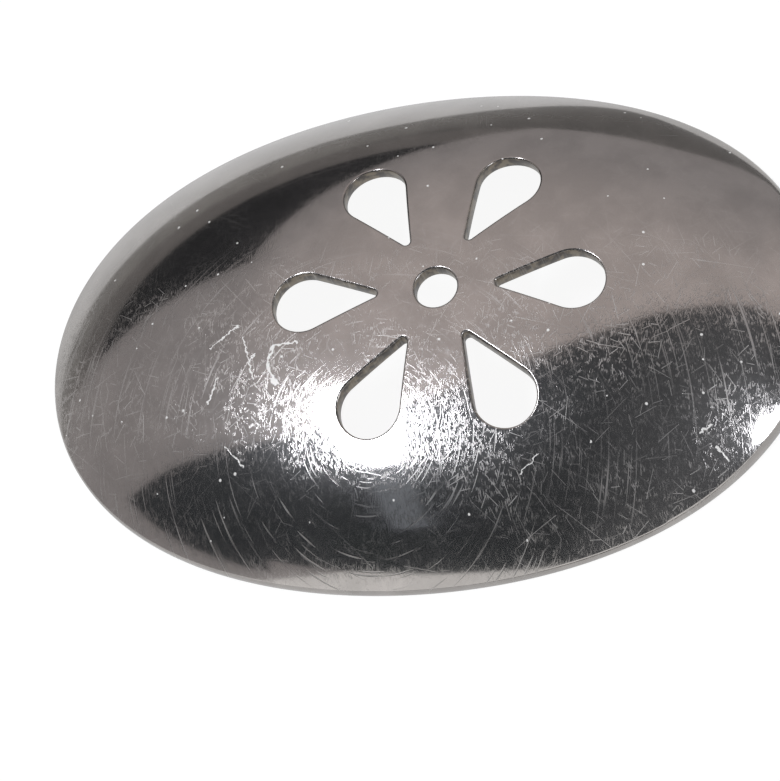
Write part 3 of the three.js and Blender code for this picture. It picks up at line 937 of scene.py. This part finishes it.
def bowl_wear(tree, place):
    """How deep the bowl's scratches and gouges are at each place, and how pale they and its dust look.

    The middle and the heel are rubbed most. The far side, and the near side by the tip, have fewer
    scratches.
    """
    x, y, _ = add(tree, "SeparateXYZ", (place,)).outputs
    rubbed = deepest(tree, [rubbed_marks(tree, place, *kind) for kind in RUBBED])
    hairlines = deepest(tree, [short_scratches(tree, place, *kind) for kind in BOWL_HAIRLINES])
    wiped = millimetres(tree, shift=(CAD_LOW.x + 30 * MM, -12 * MM, 0))
    arcs = wiping_arcs(tree, wiped, spacing=0.2, length=10)
    worn = add(tree, "TexNoise", {"Vector": place, "Scale": 0.2, "Detail": 2})
    worn = add(tree, "MapRange", (worn, 0.38, 0.6, 0.5, 1))
    far_side = add(tree, "MapRange", (y, 2, 7, 1, 0.22), interpolation_type="SMOOTHSTEP")
    worn = add(tree, "Math", (worn, far_side), operation="MULTIPLY")
    tip_side = add(tree, "Math", (x, 0.3, y), operation="MULTIPLY_ADD")
    tip_side = add(tree, "MapRange", (tip_side, -10, -5, 0.4, 1), interpolation_type="SMOOTHSTEP")
    handled = add(tree, "Math", (worn, tip_side), operation="MULTIPLY")
    uneven = wavering(tree, place, 0.5)
    gouges = deepest(tree, [gouge(tree, uneven, *mark) for mark in GOUGES])
    specks = dust_specks(tree, place, cell=1.5, radius=0.14, share=0.1)
    lines, pale = gouges, deepest(tree, [specks, gouges])
    # Each kind of mark, where the bowl has it, how deep it is drawn and how pale its torn metal looks.
    for marks, where, depth, torn in (
        (rubbed, handled, 0.85, 0.1), (hairlines, handled, 1, 0.45), (arcs, worn, 0.8, 0.15)
    ):
        marks = add(tree, "Math", (marks, where), operation="MULTIPLY")
        marks_depth = add(tree, "Math", (marks, depth), operation="MULTIPLY")
        marks_pale = add(tree, "Math", (marks, torn), operation="MULTIPLY")
        lines, pale = deepest(tree, [lines, marks_depth]), deepest(tree, [pale, marks_pale])
    return lines, pale


def bowl_colour(tree, place, finish, smudge, wall, pale):
    """Steel under a faint film, brown on the punched walls with oxide, painted shade and paler painted
    glints, and pale where torn or dusty.
    """
    film = add(tree, "MapRange", (smudge, 0.4, 0.62))
    wall_mottle = add(tree, "TexNoise", {"Vector": place, "Scale": 1.4, "Detail": 3})
    wall_mottle = add(tree, "MapRange", (wall_mottle, 0.42, 0.6))
    # The walls' dark colour is painted shade and their pale colour is painted glints, both partly oxide,
    # mottled at random.
    dark, light = linear(finish.pierced_oxide_and_shade), linear(finish.pierced_oxide_and_glints)
    wall_tint_blend = {SHARE: wall_mottle, COLOUR_A: dark, COLOUR_B: light}
    edge = add(tree, "Mix", wall_tint_blend, data_type="RGBA").outputs[BLENDED]
    colour = linear(finish.steel, 0.86)
    for share, over in ((film, linear(finish.steel)), (wall, edge), (pale, linear(finish.dust))):
        blend = {SHARE: share, COLOUR_A: colour, COLOUR_B: over}
        colour = add(tree, "Mix", blend, data_type="RGBA").outputs[BLENDED]
    return colour


def scratched_surface(tree, place, lines, depth, dents_scale):
    """Normals of metal with scratches of a depth in mm, and with wide dents as shallow as they are."""
    wave = add(tree, "TexNoise", {"Vector": place, "Scale": dents_scale, "Detail": 1})
    dents = add(tree, "Math", (wave, depth), operation="MULTIPLY")
    height = add(tree, "Math", (lines, -depth, dents), operation="MULTIPLY_ADD")
    return add(tree, "Bump", {"Height": height, "Distance": MM, "Strength": 1})


def scratched_steel(finish):
    """Stainless steel, mirror polished when new: crisp reflections crossed by hairline scratches.

    Real hairlines are a few hundredths of a millimetre wide. They are drawn about a tenth wide, one or
    two dots of the picture, because finer ones would not show. Their sides are dull and lean, so they
    catch the lamp from far off, and where the metal is torn it scatters light and looks pale. So do the
    deep gouges, and the dust that lies on the metal as dots. The scratches too fine to draw leave a soft
    glow round each bright reflection, and a rough coat gives it.
    """
    material, tree = new_material("scratched_steel")
    place = millimetres(tree, shift=(CAD_LOW.x, 0, 0))
    lines, pale = bowl_wear(tree, place)
    smudge = add(tree, "TexNoise", {"Vector": place, "Scale": 0.3, "Detail": 4})
    clean = add(tree, "MapRange", (smudge, 0, 1, finish.polish - 0.04, finish.polish + 0.04))
    rough = add(tree, "Mix", {SHARE: lines, A: clean, B: finish.scratched})
    wall = add(tree, "Attribute", attribute_name="pierced_wall").outputs["Fac"]
    punched = 0.35
    steel = {
        "Base Color": bowl_colour(tree, place, finish, smudge, wall, pale),
        "Metallic": add(tree, "Math", (1, pale), operation="SUBTRACT"),
        "Roughness": add(tree, "Mix", {SHARE: wall, A: rough, B: punched}),
        "Normal": scratched_surface(tree, place, lines, depth=0.004, dents_scale=0.22),
        "Coat Weight": 1,
        "Coat IOR": 1.6,
        "Coat Roughness": finish.haze,
    }
    add(tree, "OutputMaterial", (add(tree, "BsdfPrincipled", steel),))
    return material


def worn_silver(finish):
    """Silver plate, burnished by hand: brighter and softer than the steel, with fine handling marks.

    The marks are drawn about a tenth of a millimetre wide, because finer ones would not show.
    """
    material, tree = new_material("worn_silver")
    place = millimetres(tree)
    lines = deepest(tree, [short_scratches(tree, place, *kind) for kind in HANDLE_HAIRLINES])
    smudge = add(tree, "TexNoise", {"Vector": place, "Scale": 0.11, "Detail": 3})
    clean = add(tree, "MapRange", (smudge, 0, 1, finish.polish + 0.02, finish.polish + 0.14))
    silver = {
        "Base Color": linear(finish.silver),
        "Metallic": 1,
        "Roughness": add(tree, "Mix", {SHARE: lines, A: clean, B: finish.scratched}),
        "Normal": scratched_surface(tree, place, lines, depth=0.006, dents_scale=0.18),
    }
    add(tree, "OutputMaterial", (add(tree, "BsdfPrincipled", silver),))
    return material


def pitch_cement(finish):
    """Brick dust in pitch, poured hot: dull, dark and grainy."""
    material, tree = new_material("pitch_cement")
    grain = add(tree, "TexNoise", {"Vector": millimetres(tree), "Scale": 2.5, "Detail": 4})
    blend = {SHARE: grain, COLOUR_A: linear(finish.cement, 0.6), COLOUR_B: linear(finish.cement)}
    cement = {
        "Base Color": add(tree, "Mix", blend, data_type="RGBA").outputs[BLENDED],
        "Roughness": 0.85,
        "Normal": add(tree, "Bump", {"Height": grain, "Distance": 0.1 * MM, "Strength": 1}),
    }
    add(tree, "OutputMaterial", (add(tree, "BsdfPrincipled", cement),))
    return material


def glow(name, first, second=None, share_of=None, *limits):
    """A surface that a mirror shows in its own colour, or blended from first to second by share_of."""
    material, tree = new_material(name)
    colour = linear(first)
    if second:
        blend = {SHARE: share_of(tree, *limits), COLOUR_A: colour, COLOUR_B: linear(second)}
        colour = add(tree, "Mix", blend, data_type="RGBA").outputs[BLENDED]
    add(tree, "OutputMaterial", (add(tree, "Emission", (colour,)),))
    return material


def leaning(tree, start, end, part="X"):
    """Share of the way between two turns from overhead, in degrees: towards the handle, or across in Y."""
    parts = add(tree, "SeparateXYZ", (add(tree, "TexCoord").outputs["Object"],)).outputs
    lean = add(tree, "Math", (parts[part], parts["Z"]), operation="ARCTAN2")
    limits = math.radians(start), math.radians(end)
    return add(tree, "MapRange", (lean, *limits), interpolation_type="SMOOTHSTEP")


def lit_from_above(tree, start, end, near, far):
    """Share that grows towards the handle from start to end, and fades on the far side from near to far."""
    overhead = leaning(tree, far, near, "Y")
    return add(tree, "Math", (leaning(tree, start, end), overhead), operation="MULTIPLY")


def outwards(tree, start, end):
    """Share of the way between two distances from the bowl, counted more towards the handle."""
    x, y, _ = add(tree, "SeparateXYZ", (add(tree, "TexCoord").outputs["Object"],)).outputs
    aside = add(tree, "Math", (y,), operation="ABSOLUTE")
    distance = add(tree, "Math", (x, 2.5, aside), operation="MULTIPLY_ADD")
    return add(tree, "MapRange", (distance, start, end), interpolation_type="SMOOTHSTEP")


def sky(x, y):
    """Direction x degrees towards the handle and y degrees away from the camera, down from overhead."""
    fall = math.radians(math.hypot(x, y))
    turn = math.atan2(y, x)
    return Vector((math.sin(fall) * math.cos(turn), math.sin(fall) * math.sin(turn), math.cos(fall)))


def add_board(name, material, edges, radius, centre, low, high):
    """Part of a dome round the bowl, cut along lines between directions. It keeps their left side.

    It reaches from low to high, in degrees above the table.
    """
    deselect()
    bpy.ops.mesh.primitive_uv_sphere_add(segments=96, ring_count=48, radius=radius, location=centre)
    board = newest(name)
    bpy.ops.object.mode_set(mode="EDIT")
    for height, away in ((low, 1), (high, -1)):
        bpy.ops.mesh.select_all(action="SELECT")
        level = centre + Vector((0, 0, radius * math.sin(math.radians(height))))
        bpy.ops.mesh.bisect(plane_co=level, plane_no=(0, 0, away), clear_inner=True)
    for start, end in edges:
        bpy.ops.mesh.select_all(action="SELECT")
        across = sky(*start).cross(sky(*end))
        bpy.ops.mesh.bisect(plane_co=centre, plane_no=across, clear_inner=True)
    bpy.ops.object.mode_set(mode="OBJECT")
    board.data.materials.append(material)
    keep_for_mirrors(board)


def pane(left, right, bottom, top):
    """Edges of a four-sided board between two turns each way."""
    corners = [(left, top), (left, bottom), (right, bottom), (right, top)]
    return list(zip(corners, corners[1:] + corners[:1]))


def keep_for_mirrors(board):
    """Shows a board in the metal's reflections alone."""
    board.visible_camera = board.visible_diffuse = board.visible_shadow = False
    board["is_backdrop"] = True


def seen_directly(tree):
    """1 for the camera and for what metal and glass show of a surface, 0 for its light on others."""
    path = add(tree, "LightPath").outputs
    seen = add(tree, "Math", (path["Is Camera Ray"], path["Is Glossy Ray"]), operation="ADD")
    return add(tree, "Math", (seen, path["Is Transmission Ray"]), operation="ADD", use_clamp=True)


def build_table(studio):
    """Pale table that shows white, and keeps the soft shadow of what lies on it.

    Metal sees the whole table glow a little darker: a painted shade for the stretch close to the metal,
    which the metal shades.
    """
    # The first level is a painted shade: what metal mirrors of the table glows dimmer than what the camera
    # sees.
    mirrored_shade_level, seen = 0.55, 0.9
    deselect()
    bpy.ops.mesh.primitive_plane_add(size=studio.table)
    table = newest("table")
    material, tree = new_material("white_table")
    camera = add(tree, "LightPath").outputs["Is Camera Ray"]
    level = add(tree, "MapRange", (camera, 0, 1, mirrored_shade_level, seen))
    shown = add(tree, "Math", (seen_directly(tree), level), operation="MULTIPLY")
    white = {"Base Color": linear("#696969"), "Roughness": 1, "Specular IOR Level": 0,
             "Emission Color": linear("#FFFFFF"), "Emission Strength": shown}
    add(tree, "OutputMaterial", (add(tree, "BsdfPrincipled", white),))
    table.data.materials.append(material)
    table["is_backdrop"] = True


def build_surround(form):
    """Grey cloth round the white sheet under the spoon. Only the metal shows it.

    The sheet's edge stands a margin off the spoon's ends, and comes nearer beside the handle.
    """
    length, margin, wide, narrow = form.butt_x / 2, 12 * MM, 39 * MM, 22 * MM
    narrowing = 22 * MM, 54 * MM
    above_table = 0.3 * MM
    far_out = (30, 60, 1)
    deselect()
    bpy.ops.mesh.primitive_circle_add(vertices=256, radius=1, fill_type="NOTHING")
    cloth = newest("grey_surround")
    for vertex in cloth.data.vertices:
        x, y = (math.copysign(math.sqrt(abs(part)), part) for part in vertex.co[:2])
        x *= length + margin
        past_bowl = smoothstep(x + length, *narrowing)
        vertex.co = (x, y * lerp(wide, narrow, past_bowl), 0)
    bpy.ops.object.mode_set(mode="EDIT")
    bpy.ops.mesh.select_all(action="SELECT")
    bpy.ops.mesh.extrude_region_move(TRANSFORM_OT_translate={"value": (0, 0, TINY)})
    bpy.ops.transform.resize(value=far_out, center_override=(0, 0, 0))
    bpy.ops.object.mode_set(mode="OBJECT")
    cloth.location = (CAD_LOW.x + length, 0, above_table)
    cloth.data.materials.append(glow("grey_cloth", "#898785", "#686665", outwards, -175 * MM, -60 * MM))
    keep_for_mirrors(cloth)


def build_world():
    """White all round for what sees it directly, and a plain soft light for the table."""
    world = bpy.data.worlds.new("white_room")
    bpy.context.scene.world = world
    world.use_nodes = True
    tree = world.node_tree
    tree.nodes.clear()
    lighting, seen = 0.5, 1
    strength = add(tree, "MapRange", (seen_directly(tree), 0, 1, lighting, seen))
    add(tree, "OutputWorld", (add(tree, "Background", (linear("#FFFFFF"), strength)),))


def build_boards(studio, centre):
    """Boards round the set that the polished metal mirrors, each nearer than the last."""
    canopy = glow("warm_grey_cloth", "#A19D9E", "#CCC3C1", lit_from_above, -40, -18, 25, 82)
    velvet = glow("black_velvet", "#1B1D1F", "#212325", leaning, -40, -18)
    wall = glow("grey_wall", "#73706F", "#5F5D5C", leaning, -60, -20)
    charcoal = glow("charcoal_card", "#2F3336", "#525457", leaning, 5, 45)
    strut = glow("steel_strut", "#848B94")
    flag = [((-58, 38), (-31, 41)), ((-31, 45), (-12, 83))]
    left = [((-30, -8), (-75, -20)), ((-48, -62), (-30, -8))]
    right = [((2, 11), (-30, -8)), ((44, 24), (2, 11)), ((-30, -8), (-48, -62))]
    for name, material, edges, distance, low, high in (
        ("canopy", canopy, [((-62, -58), (60, -20))], 1, -1, 90),
        ("black_flag", velvet, flag, 0.97, 9, 90),
        ("low_wall", wall, flag, 0.96, -1, 9.5),
        ("left_card", charcoal, left, 0.93, 13, 90),
        ("right_card", charcoal, right, 0.91, 17, 90),
        ("strut", strut, pane(-20, -14, -52, -20), 0.88, 1, 90),
    ):
        add_board(name, material, edges, distance * studio.set_radius, centre, low, high)


def build_lamps(centre):
    """A long soft lamp overhead that lies across the spoon, and a weak one low at the handle's side."""
    distance = 0.9
    for name, towards, across, along, watts in (
        ("soft_lamp", sky(-19, -7), 0.5, 0.125, 3.6),
        ("window_lamp", sky(58, -19), 0.3, 0.24, 1.8),
    ):
        bpy.ops.object.light_add(type="AREA")
        lamp = newest(name)
        lamp.data.shape = "ELLIPSE"
        lamp.data.size = across
        lamp.data.size_y = along
        lamp.data.energy = watts
        lamp.data.color = linear("#F2F6FF")[:3]
        side = Vector((0, 1, 0)).cross(towards).normalized()
        axes = Matrix((side.cross(towards), side, towards)).transposed()
        lamp.matrix_world = Matrix.Translation(centre + distance * towards) @ axes.to_4x4()
        lamp.visible_camera = False


def build_camera(studio):
    """The photograph's own view."""
    sensor_in_mm, nearest, farthest = 36, 0.01, 20
    azimuth, elevation = studio.azimuth, studio.elevation
    level = math.cos(elevation)
    back = Vector((math.sin(azimuth) * level, -math.cos(azimuth) * level, math.sin(elevation)))
    target = Vector((CAD_LOW.x + studio.look_from_tip, -studio.look_aside, 0))
    bpy.ops.object.camera_add(location=target + back * studio.distance)
    camera = newest("camera")
    camera.data.lens = studio.focal_length
    camera.data.sensor_width = sensor_in_mm
    camera.data.clip_start = nearest
    camera.data.clip_end = farthest
    upright = back.to_track_quat("Z", "Y")
    camera.rotation_euler = (Quaternion(back, studio.roll) @ upright).to_euler()
    bpy.context.scene.camera = camera


class SPOON_OT_bowl(bpy.types.Operator):
    """Weaves the pierced bowl with its shank and its tang"""

    bl_idname = "spoon.bowl"
    bl_label = "Bowl and shank"

    def execute(self, context):
        piece = weave_bowl(SpoonForm(context.scene))
        piece.data.materials.append(scratched_steel(context.scene.spoon_finish))
        place_in_frame(piece)
        ride_root(piece, "bowl_steel", "bowl")
        return {"FINISHED"}


class SPOON_OT_collar(bpy.types.Operator):
    """Models the beaded collar between shank and handle"""

    bl_idname = "spoon.collar"
    bl_label = "Collar"

    def execute(self, context):
        piece = model_collar(SpoonForm(context.scene))
        finish_metal(piece, worn_silver(context.scene.spoon_finish))
        place_in_frame(piece)
        ride_root(piece, "handle_silver", "handle_collar")
        return {"FINISHED"}


class SPOON_OT_handle(bpy.types.Operator):
    """Models the two struck halves of the handle"""

    bl_idname = "spoon.handle"
    bl_label = "Handle halves"

    def execute(self, context):
        silver = worn_silver(context.scene.spoon_finish)
        for piece in model_halves(SpoonForm(context.scene)):
            finish_metal(piece, silver)
            place_in_frame(piece)
            ride_root(piece, "handle_silver", "handle_" + piece.name.replace("half", "shell"))
        return {"FINISHED"}


class SPOON_OT_cement(bpy.types.Operator):
    """Gives the cement inside the handle its material"""

    bl_idname = "spoon.cement"
    bl_label = "Cement"

    def execute(self, context):
        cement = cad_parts["handle_cement"]
        cement.data.materials.clear()
        cement.data.materials.append(pitch_cement(context.scene.spoon_finish))
        return {"FINISHED"}


class SPOON_OT_stage(bpy.types.Operator):
    """Sets the table, the boards, the lamps and the camera"""

    bl_idname = "spoon.stage"
    bl_label = "Table and light"

    def execute(self, context):
        studio = context.scene.spoon_studio
        form = SpoonForm(context.scene)
        centre = Vector((CAD_LOW.x + form.middle, 0, 0))
        deselect()
        build_world()
        build_table(studio)
        build_boards(studio, centre)
        build_surround(form)
        build_lamps(centre)
        build_camera(studio)
        return {"FINISHED"}


OPERATORS = (SPOON_OT_bowl, SPOON_OT_collar, SPOON_OT_handle, SPOON_OT_cement, SPOON_OT_stage)


class SPOON_PT_panel(bpy.types.Panel):
    """Lists the steps and the sizes of the spoon"""

    bl_idname = "SPOON_PT_panel"
    bl_label = "Ice Spoon"
    bl_space_type = "VIEW_3D"
    bl_region_type = "UI"
    bl_category = "Ice Spoon"

    def draw(self, context):
        for operator in OPERATORS:
            self.layout.operator(operator.bl_idname)
        for name in GROUPS:
            group = getattr(context.scene, name)
            box = self.layout.box()
            for prop in group.bl_rna.properties:
                if prop.identifier not in ("rna_type", "name"):
                    box.prop(group, prop.identifier)


GROUPS = {
    "spoon_bowl": BowlSizes,
    "spoon_flower": FlowerSizes,
    "spoon_shank": ShankSizes,
    "spoon_handle": HandleSizes,
    "spoon_finish": FinishSettings,
    "spoon_studio": StudioSettings,
}
CLASSES = (*GROUPS.values(), *OPERATORS, SPOON_PT_panel)


def register():
    for kind in CLASSES:
        bpy.utils.register_class(kind)
    for name, group in GROUPS.items():
        setattr(bpy.types.Scene, name, PointerProperty(type=group))


def unregister():
    for name in GROUPS:
        delattr(bpy.types.Scene, name)
    for kind in reversed(CLASSES):
        bpy.utils.unregister_class(kind)


def corners():
    """The shown object's lowest and highest corner as plain lists."""
    return [list(corner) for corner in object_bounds()]


def main():
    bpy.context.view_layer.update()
    register()
    scene = bpy.context.scene
    scene.view_settings.view_transform = "Standard"
    for operator in OPERATORS:
        group, step = operator.bl_idname.split(".")
        getattr(getattr(bpy.ops, group), step)()


if __name__ == "__main__":
    main()
